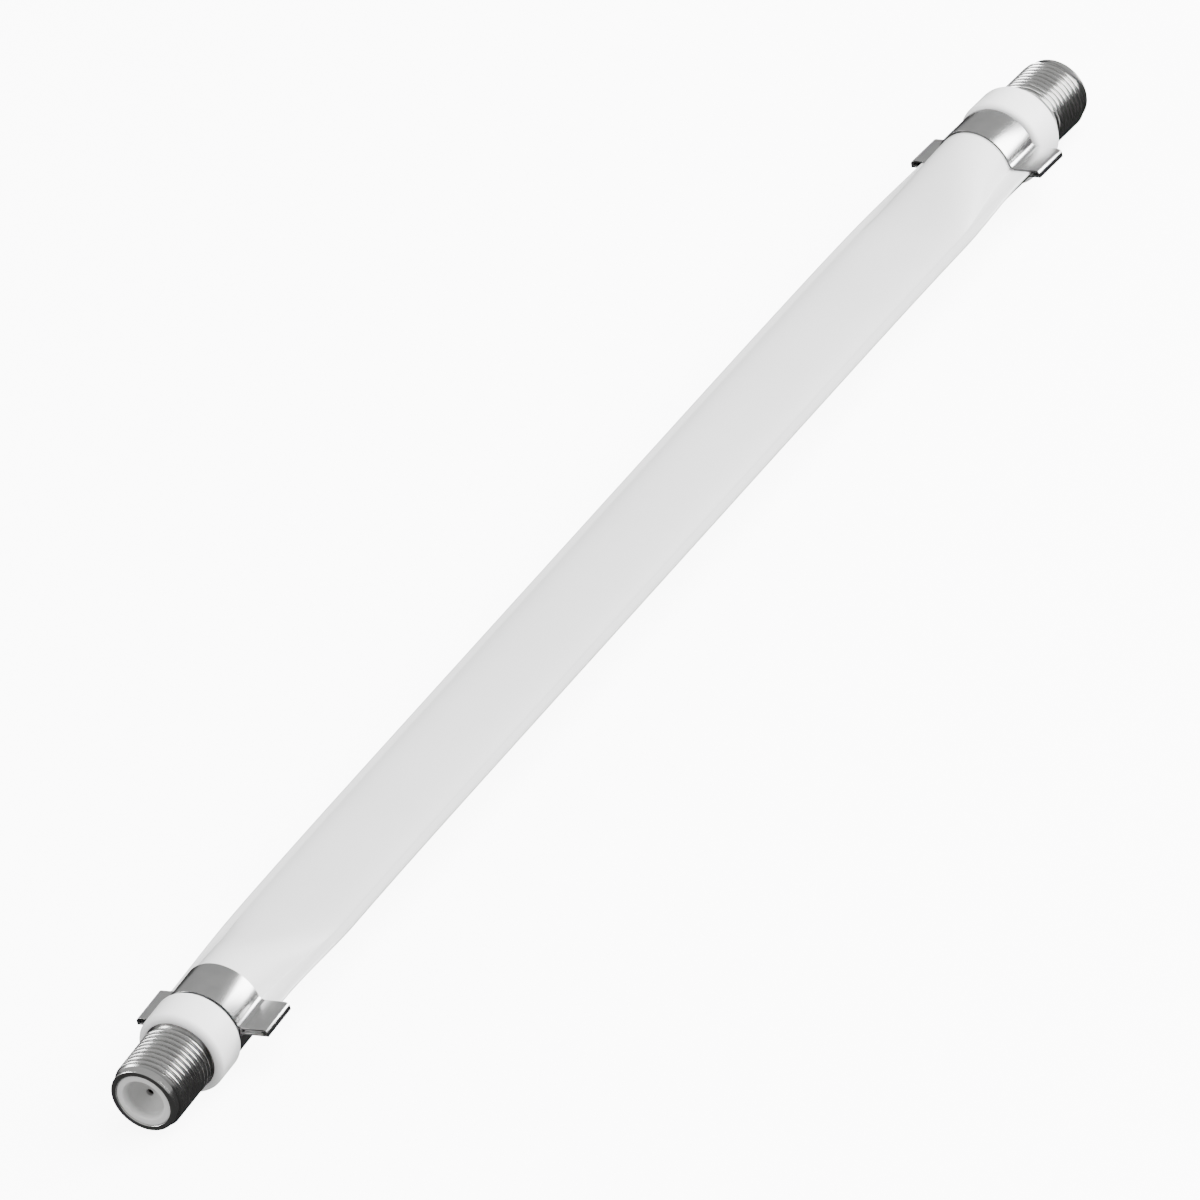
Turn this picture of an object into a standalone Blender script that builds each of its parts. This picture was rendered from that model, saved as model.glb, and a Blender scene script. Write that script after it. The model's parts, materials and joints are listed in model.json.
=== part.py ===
"""Flat coaxial feed-through lead with a female F port at each end.

The lead lies along X with its near port at -X. A thin flat coaxial strip joins the two ports. Each
port is a threaded barrel whose plain tail sits inside the strip's end, and two pressed shells clamp
the strip round that tail. The lead is built as one half, facing +X from the middle of the strip, and
placed twice: turned half a turn about Z for the near half, and as built for the far half. The two
halves meet at the axis that the strip bends about.

Inside a half, a place is given as the distance along the strip from its middle, the distance across
it, and the height above its middle plane. Inside an end, Z runs outward along the port's axis from
the strip's side of the clamp, X is up and Y is across.
"""

import math

import bmesh
import bpy
from mathutils import Matrix, Vector

MM = 0.001

# Strip
STRIP_HALF_LENGTH = 96.0 * MM     # middle of the strip to the clamp
STRIP_WIDTH = 17.2 * MM
CLAMPED_NARROWING = 1.4 * MM      # width that the bulge over the barrel takes from the strip
JACKET_THICKNESS = 0.20 * MM
SHIELD_THICKNESS = 0.06 * MM
DIELECTRIC_THICKNESS = 0.23 * MM  # above the conductor, and again below it
CONDUCTOR_THICKNESS = 0.10 * MM
CONDUCTOR_WIDTH = 3.0 * MM
TONGUE_WIDTH = 0.9 * MM           # conductor where it enters the contact
MARGIN_WIDTH = 1.5 * MM           # edge where the two jacket films are bonded to each other
FLARE_LENGTH = 18.0 * MM          # stretch over which the strip opens up to go round the barrel
STRIP_RISE = 1.0 * MM             # middle of the strip above its ends
RISE_POWER = 6                    # how late along the strip the fall to its ends comes
FLAT_POWER = 6.0                  # squareness of the flat strip's shoulders
ROUND_POWER = 2.0                 # the same where the strip is round, over the barrel
FILM_INSET = 0.8 * MM             # jacket films' ends inside the clamp's front
SHIELD_INSET = 1.3 * MM           # shield's end inside the clamp's front

# Port barrel, a 3/8-32 UNEF thread
THREAD_RADIUS = 4.75 * MM
THREAD_PITCH = 0.794 * MM
THREAD_DEPTH = 0.43 * MM
THREAD_LENGTH = 7.9 * MM
NOSE_STEP = 0.33 * MM             # plain nose below the thread's crests
NOSE_LENGTH = 1.0 * MM
NOSE_CHAMFER = 0.18 * MM
NOSE_WALL = 0.72 * MM
TAIL_WALL = 1.10 * MM
TAIL_INSET = 0.30 * MM            # barrel's back end inside the clamp
NECK_LENGTH = 0.40 * MM           # plain neck between the collar and the thread

# Collar
COLLAR_WALL = 1.01 * MM
COLLAR_LENGTH = 5.50 * MM
COLLAR_SETOFF = 0.35 * MM         # open groove between the clamp and the collar
COLLAR_FRONT_EDGE = 0.90 * MM     # radius of the rounded rim towards the thread
COLLAR_BACK_EDGE = 0.80 * MM      # radius of the rounded rim towards the clamp

# Clamp
CLAMP_LENGTH = 5.8 * MM
SHEET_THICKNESS = 0.28 * MM
EAR_OVERHANG = 0.45 * MM          # lower ear's edge beyond the flat strip's edge
ROOT_BEND = 1.0 * MM              # middle radius of the bend from an ear into the arch
HEM_CORNER = 0.45 * MM            # middle radius of the bend into the hem

# Inner parts of the port
DISH_DEPTH = 1.7 * MM
DISH_LIP = 0.80 * MM              # flat ring round the dish
DISH_WALL_RUN = 0.40 * MM         # steep wall between the lip and the dish's cone
DISH_WALL_DEPTH = 0.90 * MM
MOUTH_RADIUS = 0.5 * MM
MOUTH_WALL = 0.45 * MM            # insulator left in front of the contact
FACE_RECESS = 0.15 * MM           # insulator's face behind the nose
CONTACT_RADIUS = 0.75 * MM
CONTACT_BORE = 0.42 * MM
CONTACT_TAIL_RADIUS = 0.58 * MM
SOCKET_LENGTH = 9.0 * MM
SLIT_LENGTH = 5.5 * MM
SLIT_WIDTH = 0.2 * MM
TONGUE_GRIP = 1.6 * MM            # conductor's length inside the contact's tail
TAIL_PLUG_LENGTH = 4.2 * MM
CONTACT_SETBACK = 0.9 * MM        # contact's tail end inside the barrel's back end

# Fits
LAYER_GAP = 0.02 * MM
TURNED_GAP = 0.04 * MM
END_GAP = 0.05 * MM

# Bend
HINGE_SPARE = 0.2 * MM            # beyond what a right-angle bend needs

# Fineness
SHARP_ANGLE = math.radians(35)
FLAT_ROWS = (0.4, 0.75)           # places of rows on the flat stretch, as shares of it
QUARTER_STEPS = 6                 # sides in a quarter turn, shared by all that nests
ROUND_STEPS = 4 * QUARTER_STEPS
ROWS_PER_PITCH = 5
EDGE_STEPS = 3
FLARE_STEPS = 7

# Derived: radii of the port
NOSE_RADIUS = THREAD_RADIUS - NOSE_STEP
BORE_RADIUS = NOSE_RADIUS - NOSE_WALL
TAIL_RADIUS = BORE_RADIUS + TAIL_WALL
COLLAR_BORE = THREAD_RADIUS + TURNED_GAP
COLLAR_RADIUS = COLLAR_BORE + COLLAR_WALL

# Derived: levels of the strip's layers, as heights above its middle plane
DIELECTRIC_TOP = CONDUCTOR_THICKNESS / 2 + LAYER_GAP + DIELECTRIC_THICKNESS
SHIELD_TOP = DIELECTRIC_TOP + LAYER_GAP + SHIELD_THICKNESS
JACKET_BASE = SHIELD_TOP + LAYER_GAP
STRIP_THICKNESS = 2 * (JACKET_BASE + JACKET_THICKNESS)
MARGIN_TOP = LAYER_GAP / 2 + JACKET_THICKNESS
CORE_HALF_WIDTH = STRIP_WIDTH / 2 - MARGIN_WIDTH
SLEEVE_RADIUS = TAIL_RADIUS + SHIELD_THICKNESS + 2 * LAYER_GAP  # inside of the jackets round the tail

# Derived: places along a port's axis
COLLAR_START = CLAMP_LENGTH + COLLAR_SETOFF
COLLAR_END = COLLAR_START + COLLAR_LENGTH
THREAD_START = COLLAR_END + NECK_LENGTH
THREAD_END = THREAD_START + THREAD_LENGTH
PORT_END = THREAD_END + NOSE_LENGTH
FACE_END = PORT_END - FACE_RECESS
CONTACT_START = TAIL_INSET + CONTACT_SETBACK
CONTACT_END = FACE_END - DISH_DEPTH - MOUTH_WALL - END_GAP
TAIL_PLUG_END = TAIL_INSET + TAIL_PLUG_LENGTH
END_TILT = math.atan(STRIP_RISE * RISE_POWER / STRIP_HALF_LENGTH)

# Derived: the bend
HINGE_GAP = STRIP_THICKNESS + HINGE_SPARE

NICKEL = ("nickel_plated_brass", (0.62, 0.62, 0.60), 0.22, 1.0)
STEEL = ("tinned_steel", (0.60, 0.60, 0.60), 0.28, 1.0)
WHITE_RING = ("white_ring_plastic", (0.87, 0.87, 0.86), 0.35, 0.0)
WHITE_INSULATOR = ("white_insulator_plastic", (0.90, 0.90, 0.89), 0.45, 0.0)
WHITE_JACKET = ("white_jacket_vinyl", (0.86, 0.86, 0.85), 0.38, 0.0)
FOIL = ("aluminium_foil", (0.78, 0.78, 0.79), 0.30, 1.0)
FOAM = ("natural_dielectric", (0.92, 0.92, 0.90), 0.55, 0.0)
COPPER = ("bare_copper", (0.80, 0.45, 0.30), 0.30, 1.0)
BRONZE = ("phosphor_bronze", (0.72, 0.56, 0.34), 0.28, 1.0)


# Scene helpers

def clear_scene():
    for obj in list(bpy.data.objects):
        bpy.data.objects.remove(obj, do_unlink=True)


def new_collection(name):
    collection = bpy.data.collections.new(name)
    bpy.context.scene.collection.children.link(collection)
    return collection


def material_for(finish):
    name, colour, roughness, metallic = finish
    material = bpy.data.materials.get(name)
    if material is None:
        material = bpy.data.materials.new(name)
        material.use_nodes = True
        shader = material.node_tree.nodes["Principled BSDF"]
        shader.inputs["Base Color"].default_value = (*colour, 1.0)
        shader.inputs["Roughness"].default_value = roughness
        shader.inputs["Metallic"].default_value = metallic
    return material


def add_piece(name, mesh, parent, finish):
    piece = bpy.data.objects.new(name, mesh)
    piece.data.materials.append(material_for(finish))
    PARTS.objects.link(piece)
    piece.parent = parent
    return piece


def add_empty(name, parent, placement):
    empty = bpy.data.objects.new(name, None)
    PARTS.objects.link(empty)
    empty.parent = parent
    empty.matrix_local = placement
    return empty


def shade(mesh):
    mesh.shade_smooth()
    mesh.set_sharp_from_angle(angle=SHARP_ANGLE)


def mesh_from_bmesh(name, bm):
    bmesh.ops.recalc_face_normals(bm, faces=bm.faces)
    mesh = bpy.data.meshes.new(name)
    bm.to_mesh(mesh)
    bm.free()
    shade(mesh)
    return mesh


def cut(piece, cutter):
    cutter.hide_render = True
    cutter.display_type = "WIRE"
    modifier = piece.modifiers.new(cutter.name, "BOOLEAN")
    modifier.operation = "DIFFERENCE"
    modifier.object = cutter


def box_cutter(name, parent, low, high):
    """A block between two corners, given in the parent's axes."""
    size = Vector(high) - Vector(low)
    bm = bmesh.new()
    bmesh.ops.create_cube(bm, size=1.0)
    bmesh.ops.scale(bm, vec=size, verts=bm.verts)
    cutter = bpy.data.objects.new(name, mesh_from_bmesh(name, bm))
    CUTTERS.objects.link(cutter)
    cutter.parent = parent
    cutter.location = (Vector(low) + Vector(high)) / 2
    return cutter


# Turned pieces

def turned_mesh(name, outline):
    """Revolve an outline of (radius, distance along the axis) points about Z.

    The outline runs round the solid's half section, down its outer side. It is closed, unless it
    starts and ends on the axis.
    """
    profile = bpy.data.meshes.new("outline")
    points = [(radius, 0.0, along) for radius, along in outline]
    edges = [(i, i + 1) for i in range(len(points) - 1)]
    if outline[0][0] > 0.0:
        edges.append((len(points) - 1, 0))
    profile.from_pydata(points, edges, [])
    guide = bpy.data.objects.new("outline", profile)
    bpy.context.scene.collection.objects.link(guide)
    screw = guide.modifiers.new("turn", "SCREW")
    screw.axis = "Z"
    screw.angle = math.tau
    screw.steps = ROUND_STEPS
    screw.render_steps = ROUND_STEPS
    screw.use_merge_vertices = True
    screw.merge_threshold = 0.001 * MM
    evaluated = guide.evaluated_get(bpy.context.evaluated_depsgraph_get())
    bm = bmesh.new()
    bm.from_mesh(bpy.data.meshes.new_from_object(evaluated))
    bpy.data.objects.remove(guide, do_unlink=True)
    return mesh_from_bmesh(name, bm)


def rounded_rim(radius, along, edge, outward):
    """Points of a quarter-round rim on a piece's outer side, in the order down that side."""
    points = []
    for step in range(EDGE_STEPS + 1):
        angle = math.radians(90) * step / EDGE_STEPS
        if outward:
            points.append((radius - edge + edge * math.sin(angle), along - edge + edge * math.cos(angle)))
        else:
            points.append((radius - edge + edge * math.cos(angle), along + edge - edge * math.sin(angle)))
    return points


def cut_thread(mesh):
    """Draw the barrel's outer side in to a right-hand thread, fading out at both of its ends."""
    groove_floor = THREAD_RADIUS - THREAD_DEPTH
    for vertex in mesh.vertices:
        x, y, along = vertex.co
        radius = math.hypot(x, y)
        on_thread = THREAD_START + NECK_LENGTH / 2 < along < THREAD_END - NECK_LENGTH / 2
        if radius < groove_floor or not on_thread:
            continue
        turns = along / THREAD_PITCH - math.atan2(y, x) / math.tau
        depth = THREAD_DEPTH * (0.5 - 0.5 * math.cos(math.tau * turns))
        vertex.co.x = x * (THREAD_RADIUS - depth) / radius
        vertex.co.y = y * (THREAD_RADIUS - depth) / radius


def port_body(prefix, end):
    rows = round(THREAD_LENGTH / THREAD_PITCH * ROWS_PER_PITCH)
    threaded = [
        (THREAD_RADIUS, THREAD_END - THREAD_LENGTH * row / rows) for row in range(1, rows)
    ]
    outline = [
        (BORE_RADIUS, PORT_END),
        (NOSE_RADIUS - NOSE_CHAMFER, PORT_END),
        (NOSE_RADIUS, PORT_END - NOSE_CHAMFER),
        (NOSE_RADIUS, THREAD_END),
        *threaded,
        (THREAD_RADIUS - THREAD_DEPTH, THREAD_START),
        (THREAD_RADIUS - THREAD_DEPTH, COLLAR_END),
        (THREAD_RADIUS, COLLAR_END - END_GAP),
        (THREAD_RADIUS, COLLAR_START - END_GAP),
        (TAIL_RADIUS, COLLAR_START - END_GAP),
        (TAIL_RADIUS, TAIL_INSET),
        (BORE_RADIUS, TAIL_INSET),
    ]
    name = prefix + "_port_body"
    mesh = turned_mesh(name, outline)
    cut_thread(mesh)
    return add_piece(name, mesh, end, NICKEL)


def collar_outline():
    return [
        (COLLAR_BORE, COLLAR_END),
        *rounded_rim(COLLAR_RADIUS, COLLAR_END, COLLAR_FRONT_EDGE, outward=True),
        *rounded_rim(COLLAR_RADIUS, COLLAR_START, COLLAR_BACK_EDGE, outward=False),
        (COLLAR_BORE, COLLAR_START),
    ]


def collar(prefix, end):
    name = prefix + "_collar"
    return add_piece(name, turned_mesh(name, collar_outline()), end, WHITE_RING)


def port_insulator(prefix, end):
    outer = BORE_RADIUS - TURNED_GAP
    bore = CONTACT_RADIUS + TURNED_GAP
    back = TAIL_PLUG_END + END_GAP
    dish_floor = FACE_END - DISH_DEPTH
    outline = [
        (outer - DISH_LIP - DISH_WALL_RUN, FACE_END - DISH_WALL_DEPTH),
        (outer - DISH_LIP, FACE_END),
        (outer, FACE_END),
        (outer, back),
        (bore, back),
        (bore, dish_floor - MOUTH_WALL),
        (MOUTH_RADIUS, dish_floor - MOUTH_WALL),
        (MOUTH_RADIUS, dish_floor),
    ]
    name = prefix + "_port_insulator"
    return add_piece(name, turned_mesh(name, outline), end, WHITE_INSULATOR)


def tail_insulator(prefix, end):
    outer = BORE_RADIUS - TURNED_GAP
    bore = CONTACT_TAIL_RADIUS + TURNED_GAP
    outline = [
        (outer, TAIL_PLUG_END),
        (outer, TAIL_INSET),
        (bore, TAIL_INSET),
        (bore, TAIL_PLUG_END),
    ]
    name = prefix + "_tail_insulator"
    return add_piece(name, turned_mesh(name, outline), end, WHITE_INSULATOR)


def center_contact(prefix, end):
    """A rod whose tail is slit for the conductor and whose front is a four-fingered tube."""
    shoulder = CONTACT_END - SOCKET_LENGTH
    outline = [
        (0.0, shoulder),
        (CONTACT_BORE, shoulder),
        (CONTACT_BORE, CONTACT_END),
        (CONTACT_RADIUS, CONTACT_END),
        (CONTACT_RADIUS, shoulder),
        (CONTACT_TAIL_RADIUS, shoulder),
        (CONTACT_TAIL_RADIUS, CONTACT_START),
        (0.0, CONTACT_START),
    ]
    name = prefix + "_center_contact"
    contact = add_piece(name, turned_mesh(name, outline), end, BRONZE)
    reach = 2 * CONTACT_RADIUS
    slit = SLIT_WIDTH / 2
    slit_start = CONTACT_END - SLIT_LENGTH
    slit_end = CONTACT_END + SLIT_WIDTH
    seat = CONDUCTOR_THICKNESS / 2 + LAYER_GAP
    cuts = {
        "slit_across": ((-slit, -reach, slit_start), (slit, reach, slit_end)),
        "slit_upright": ((-reach, -slit, slit_start), (reach, slit, slit_end)),
        "seat": (
            (-seat, -reach, CONTACT_START - TONGUE_GRIP),
            (seat, reach, CONTACT_START + TONGUE_GRIP + END_GAP),
        ),
    }
    for cut_name, (low, high) in cuts.items():
        cut(contact, box_cutter(f"{prefix}_{cut_name}_cutter", end, low, high))
    return contact


# Clamp shells

def bend_points(centre, radius, start, stop, steps):
    """Points along an arc in the (across, height) plane, from one angle to another, in degrees."""
    points = []
    for step in range(steps + 1):
        angle = math.radians(start + (stop - start) * step / steps)
        across = centre[0] + radius * math.cos(angle)
        height = centre[1] + radius * math.sin(angle)
        points.append((across, height))
    return points


def shell_path(hemmed):
    """Half of the middle line of a clamp shell's sheet, from its outer edge to the arch's crown."""
    arch = SLEEVE_RADIUS + JACKET_THICKNESS + LAYER_GAP + SHEET_THICKNESS / 2
    ear_level = MARGIN_TOP + LAYER_GAP + SHEET_THICKNESS / 2
    ear_edge = STRIP_WIDTH / 2 + EAR_OVERHANG
    bend_height = ear_level + ROOT_BEND
    bend_centre = (math.sqrt((arch + ROOT_BEND) ** 2 - bend_height ** 2), bend_height)
    root = math.degrees(math.asin(bend_height / (arch + ROOT_BEND)))
    path = []
    if hemmed:
        hem = ear_edge + END_GAP + SHEET_THICKNESS / 2
        path.append((hem, -(MARGIN_TOP + LAYER_GAP + SHEET_THICKNESS)))
        corner = (hem - HEM_CORNER, ear_level - HEM_CORNER)
        path.extend(bend_points(corner, HEM_CORNER, 0, 90, EDGE_STEPS))
    else:
        path.append((ear_edge, ear_level))
    path.extend(bend_points(bend_centre, ROOT_BEND, 270, 180 + root, EDGE_STEPS))
    whole_quarter = bend_points((0.0, 0.0), arch, 0, 90, QUARTER_STEPS)
    return path + [(across, height) for across, height in whole_quarter if across < path[-1][0]]


def clamp_shell(name, end, hemmed):
    """Press a sheet into an arch with an ear on each side; the lower shell is turned upside down."""
    half = shell_path(hemmed)
    path = half + [(-across, height) for across, height in reversed(half[:-1])]
    facing = 1.0 if hemmed else -1.0
    bm = bmesh.new()
    back_row = [bm.verts.new((facing * height, across, 0.0)) for across, height in path]
    front_row = [bm.verts.new((facing * height, across, CLAMP_LENGTH)) for across, height in path]
    for i in range(len(path) - 1):
        bm.faces.new((back_row[i], back_row[i + 1], front_row[i + 1], front_row[i]))
    mesh = bpy.data.meshes.new(name)
    bm.to_mesh(mesh)
    bm.free()
    shade(mesh)
    shell = add_piece(name, mesh, end, STEEL)
    solidify = shell.modifiers.new("sheet", "SOLIDIFY")
    solidify.thickness = SHEET_THICKNESS
    solidify.offset = 0.0
    solidify.use_even_offset = True
    return shell


# Strip layers

def strip_point(along, across, height):
    """A place in the half: the strip falls to its end, then runs straight on inside the port."""
    within = min(along, STRIP_HALF_LENGTH)
    drop = STRIP_RISE * (within / STRIP_HALF_LENGTH) ** RISE_POWER
    slope = drop * RISE_POWER / within
    tilt = math.atan(slope)
    beyond = along - within
    x = within + beyond * math.cos(tilt) + height * math.sin(tilt)
    z = -drop - beyond * math.sin(tilt) + height * math.cos(tilt)
    return Vector((x, across, z))


def flare(along):
    """How far the strip has opened at this place: 0 where it is flat, 1 round the barrel's tail."""
    share = (along - (STRIP_HALF_LENGTH - FLARE_LENGTH)) / FLARE_LENGTH
    share = min(max(share, 0.0), 1.0)
    return share * share * (3.0 - 2.0 * share)


def stations(end):
    """Places along the half where its layers have a row of points, up to a layer's own end."""
    flare_start = STRIP_HALF_LENGTH - FLARE_LENGTH
    places = [HINGE_GAP / 2] + [flare_start * share for share in FLAT_ROWS]
    places += [flare_start + FLARE_LENGTH * step / FLARE_STEPS for step in range(FLARE_STEPS + 1)]
    return places + [end]


def skin(along, offset, floor):
    """Points of a layer's upper skin, from the middle of the strip to where it meets the floor.

    The skin is a half circle round the barrel's tail, and a low plateau along the flat strip. The
    offset moves it out from the jackets' inner side.
    """
    opened = flare(along)
    half_width = CORE_HALF_WIDTH + (SLEEVE_RADIUS - CORE_HALF_WIDTH) * opened + offset
    top = JACKET_BASE + (SLEEVE_RADIUS - JACKET_BASE) * opened + offset
    power = FLAT_POWER + (ROUND_POWER - FLAT_POWER) * opened
    edge = half_width * (1.0 - (floor / top) ** 2) ** (1.0 / power)
    points = []
    for step in range(QUARTER_STEPS + 1):
        across = edge * math.sin(math.radians(90) * step / QUARTER_STEPS)
        share = min(across / half_width, 1.0)
        points.append((across, top * (1.0 - share ** power) ** 0.5))
    return points


def loop_of(quarter):
    """A closed ring of points from its quarter, which runs from the top to the side."""
    right = quarter[:-1]
    below = [(across, -height) for across, height in reversed(quarter[1:])]
    left = [(-across, -height) for across, height in quarter[:-1]]
    above = [(-across, height) for across, height in reversed(quarter[1:])]
    return right + below + left + above


def tunnel(half_width, half_height):
    """A quarter of the flat slot that the conductor lies in, with as many points as a skin has."""
    points = []
    for step in range(QUARTER_STEPS):
        points.append((half_width * step / (QUARTER_STEPS - 1), half_height))
    return points + [(half_width, 0.0)]


def add_skin_panel(bm, here, ahead, i, j):
    """Two triangles between neighbouring rows, split the same way in every layer so that they nest.

    The split runs from the point of this row that is nearer the middle of the strip.
    """
    if abs(here[i].co.y) > abs(here[j].co.y):
        i, j = j, i
    bm.faces.new((here[i], here[j], ahead[j]))
    bm.faces.new((here[i], ahead[j], ahead[i]))


def layer_mesh(name, places, outer, inner, wraps):
    """Close the space between an outer and an inner row of points at each place along the half.

    A layer that wraps has rings for its rows. One that doesn't also gets its two long edges closed.
    """
    bm = bmesh.new()
    rows = []
    for place, outer_row, inner_row in zip(places, outer, inner):
        rows.append([
            [bm.verts.new(strip_point(place, across, height)) for across, height in row]
            for row in (outer_row, inner_row)
        ])
    count = len(rows[0][0])
    spans = [(i, (i + 1) % count) for i in range(count if wraps else count - 1)]
    for here, ahead in zip(rows, rows[1:]):
        for side in (0, 1):
            for i, j in spans:
                add_skin_panel(bm, here[side], ahead[side], i, j)
        if not wraps:
            for i in (0, count - 1):
                bm.faces.new((here[0][i], here[1][i], ahead[1][i], ahead[0][i]))
    for row in (rows[0], rows[-1]):
        for i, j in spans:
            bm.faces.new((row[0][i], row[0][j], row[1][j], row[1][i]))
    return mesh_from_bmesh(name, bm)


def jacket(name, half, side):
    """One of the two jacket films; side is 1 for the upper and -1 for the lower."""
    def film_row(along, offset):
        floor = LAYER_GAP / 2 + offset
        edge = (STRIP_WIDTH - CLAMPED_NARROWING * flare(along)) / 2
        quarter = skin(along, offset, floor) + [(edge, floor)]
        mirrored = [(-across, height) for across, height in reversed(quarter[1:])]
        return [(across, side * height) for across, height in mirrored + quarter]

    places = stations(STRIP_HALF_LENGTH + CLAMP_LENGTH - FILM_INSET)
    outer = [film_row(place, JACKET_THICKNESS) for place in places]
    inner = [film_row(place, 0.0) for place in places]
    return add_piece(name, layer_mesh(name, places, outer, inner, False), half, WHITE_JACKET)


def shield(name, half):
    places = stations(STRIP_HALF_LENGTH + CLAMP_LENGTH - SHIELD_INSET)
    outer_offset = -LAYER_GAP
    inner_offset = outer_offset - SHIELD_THICKNESS
    outer = [loop_of(skin(place, outer_offset, 0.0)) for place in places]
    inner = [loop_of(skin(place, inner_offset, 0.0)) for place in places]
    return add_piece(name, layer_mesh(name, places, outer, inner, True), half, FOIL)


def dielectric(name, half):
    places = stations(STRIP_HALF_LENGTH + TAIL_INSET - END_GAP)
    offset = -(2 * LAYER_GAP + SHIELD_THICKNESS)
    outer = [loop_of(skin(place, offset, 0.0)) for place in places]
    slot = loop_of(tunnel(CONDUCTOR_WIDTH / 2 + LAYER_GAP, CONDUCTOR_THICKNESS / 2 + LAYER_GAP))
    return add_piece(name, layer_mesh(name, places, outer, [slot] * len(places), True), half, FOAM)


def conductor(name, half):
    """A flat copper strip that narrows to a tongue before it goes into the port's contact."""
    tongue_start = STRIP_HALF_LENGTH - END_GAP
    shoulder = tongue_start - CONDUCTOR_WIDTH
    places = stations(STRIP_HALF_LENGTH + CONTACT_START + TONGUE_GRIP)
    places = [place for place in places if place < shoulder] + [shoulder, tongue_start, places[-1]]
    outer = []
    inner = []
    for place in places:
        width = CONDUCTOR_WIDTH if place <= shoulder else TONGUE_WIDTH
        outer.append([(-width / 2, CONDUCTOR_THICKNESS / 2), (width / 2, CONDUCTOR_THICKNESS / 2)])
        inner.append([(-width / 2, -CONDUCTOR_THICKNESS / 2), (width / 2, -CONDUCTOR_THICKNESS / 2)])
    return add_piece(name, layer_mesh(name, places, outer, inner, False), half, COPPER)


# Assembly

def axis_height():
    """Height of the strip's middle when the collars rest on the ground."""
    reach = max(
        along * math.sin(END_TILT) + radius * math.cos(END_TILT) for radius, along in collar_outline()
    )
    return STRIP_RISE + reach


def build_end(prefix, half):
    end_place = (
        Matrix.Translation((STRIP_HALF_LENGTH, 0.0, -STRIP_RISE))
        @ Matrix.Rotation(math.radians(90) + END_TILT, 4, "Y")
        @ Matrix.Rotation(math.radians(180), 4, "Z")
    )
    end = add_empty(prefix + "_end", half, end_place)
    port_body(prefix, end)
    collar(prefix, end)
    port_insulator(prefix, end)
    tail_insulator(prefix, end)
    center_contact(prefix, end)
    clamp_shell(prefix + "_upper_clamp", end, hemmed=True)
    clamp_shell(prefix + "_lower_clamp", end, hemmed=False)


def build_strip(prefix, half):
    jacket(prefix + "_upper_jacket", half, 1)
    jacket(prefix + "_lower_jacket", half, -1)
    shield(prefix + "_shield", half)
    dielectric(prefix + "_dielectric", half)
    conductor(prefix + "_conductor", half)


def build_half(prefix, turn):
    place = Matrix.Translation((0.0, 0.0, axis_height())) @ Matrix.Rotation(turn, 4, "Z")
    half = add_empty(prefix + "_half", None, place)
    build_strip(prefix, half)
    build_end(prefix, half)


clear_scene()
PARTS = new_collection("flat_coax_feedthrough_lead")
CUTTERS = new_collection("cutters")
build_half("near", math.radians(180))
build_half("far", 0.0)
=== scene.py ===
import json
import math

import bmesh
import bpy
from mathutils import Matrix, Vector


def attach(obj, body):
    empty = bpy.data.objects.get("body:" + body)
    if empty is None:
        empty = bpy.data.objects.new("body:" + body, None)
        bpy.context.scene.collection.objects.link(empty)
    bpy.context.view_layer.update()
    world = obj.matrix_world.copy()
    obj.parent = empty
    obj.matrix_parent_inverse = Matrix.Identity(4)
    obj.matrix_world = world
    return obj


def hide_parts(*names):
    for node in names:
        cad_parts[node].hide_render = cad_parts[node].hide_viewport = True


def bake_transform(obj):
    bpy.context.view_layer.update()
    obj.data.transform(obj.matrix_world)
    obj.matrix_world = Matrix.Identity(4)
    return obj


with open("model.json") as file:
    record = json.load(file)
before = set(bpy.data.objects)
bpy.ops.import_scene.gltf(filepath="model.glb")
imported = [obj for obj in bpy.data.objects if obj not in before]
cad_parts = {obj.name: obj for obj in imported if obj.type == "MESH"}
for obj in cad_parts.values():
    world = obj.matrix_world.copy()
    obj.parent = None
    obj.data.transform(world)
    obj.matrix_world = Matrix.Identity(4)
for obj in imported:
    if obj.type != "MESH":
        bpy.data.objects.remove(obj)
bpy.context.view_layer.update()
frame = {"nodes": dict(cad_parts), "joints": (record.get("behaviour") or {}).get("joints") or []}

MM = 0.001
QUARTER_TURN = math.radians(90)
HALF_TURN = math.radians(180)

# Strip, in the CAD model's sizes
STRIP_HALF_LENGTH = 96.0 * MM     # middle of the strip to the clamp
STRIP_WIDTH = 17.2 * MM
CLAMPED_NARROWING = 1.4 * MM      # width that the bulge over the barrel takes from the strip
JACKET_THICKNESS = 0.20 * MM
JACKET_BASE = 0.40 * MM           # jacket's inner face above the strip's middle plane
LAYER_GAP = 0.02 * MM
MARGIN_TOP = JACKET_THICKNESS + LAYER_GAP / 2
MARGIN_WIDTH = 1.5 * MM           # edge where the two jacket films are bonded to each other
CORE_HALF_WIDTH = STRIP_WIDTH / 2 - MARGIN_WIDTH
FLARE_LENGTH = 18.0 * MM          # stretch over which the strip opens up to go round the barrel
STRIP_RISE = 1.0 * MM             # middle of the strip above its ends
RISE_POWER = 6                    # how late along the strip the fall to its ends comes
SLEEVE_RADIUS = 4.90 * MM         # inside of the strip round the barrel
SLEEVE_START = 0.2 * MM           # that hollow's start, past the strip's half length
FILM_INSET = 0.8 * MM             # the strip's ends inside the clamp's front

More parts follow.
